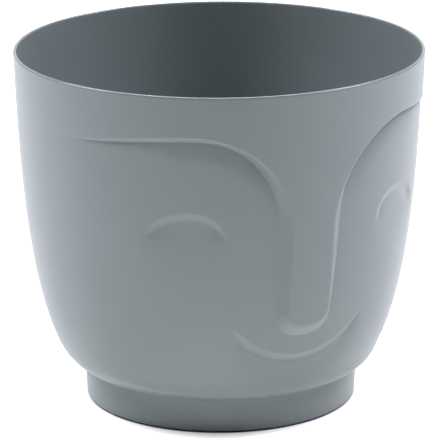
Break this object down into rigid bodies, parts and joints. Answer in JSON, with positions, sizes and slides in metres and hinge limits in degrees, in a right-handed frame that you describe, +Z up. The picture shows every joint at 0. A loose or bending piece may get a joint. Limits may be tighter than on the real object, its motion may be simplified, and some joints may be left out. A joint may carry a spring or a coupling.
{
  "type": "plant pot",
  "caption": "Round plastic plant pot with a calm sleeping face in low relief, on a foot that is its drip tray, with a lift-out drainage grate and push-in drain plugs.",
  "frame": {"origin": "on the floor below the middle of the foot", "axes": "+Z up along the pot's axis, -Y the way the face looks, +X to the right of a viewer who looks at the face"},
  "size_m": [0.2998, 0.2998, 0.262],
  "materials": {
    "pot_plastic": "fine satin, moulded polypropylene",
    "tray_plastic": "fine satin, moulded polypropylene",
    "grate_plastic": "satin, moulded polypropylene",
    "plug_rubber": "matt, soft moulded rubber",
    "pad_rubber": "matt, die-cut rubber"
  },
  "bodies": {
    "base": {"drip_tray": "tray_plastic", "foot_pad_1": "pad_rubber", "foot_pad_2": "pad_rubber", "foot_pad_3": "pad_rubber", "foot_pad_4": "pad_rubber"},
    "pot": {"pot_shell": "pot_plastic"},
    "grate": {"drainage_grate": "grate_plastic"},
    "plug_1": {"drain_plug_1": "plug_rubber"},
    "plug_2": {"drain_plug_2": "plug_rubber"},
    "plug_3": {"drain_plug_3": "plug_rubber"},
    "plug_4": {"drain_plug_4": "plug_rubber"}
  },
  "joints": [
    {"name": "pot_lift", "type": "slide", "parent": "base", "child": "pot", "axis": [0, 0, 1], "range_m": [0, 0.06]},
    {"name": "grate_lift", "type": "slide", "parent": "pot", "child": "grate", "axis": [0, 0, 1], "range_m": [0, 0.24]},
    {"name": "plug_1_pull", "type": "slide", "parent": "pot", "child": "plug_1", "axis": [0, 0, 1], "range_m": [0, 0.008]},
    {"name": "plug_2_pull", "type": "slide", "parent": "pot", "child": "plug_2", "axis": [0, 0, 1], "range_m": [0, 0.008]},
    {"name": "plug_3_pull", "type": "slide", "parent": "pot", "child": "plug_3", "axis": [0, 0, 1], "range_m": [0, 0.008]},
    {"name": "plug_4_pull", "type": "slide", "parent": "pot", "child": "plug_4", "axis": [0, 0, 1], "range_m": [0, 0.008]}
  ]
}
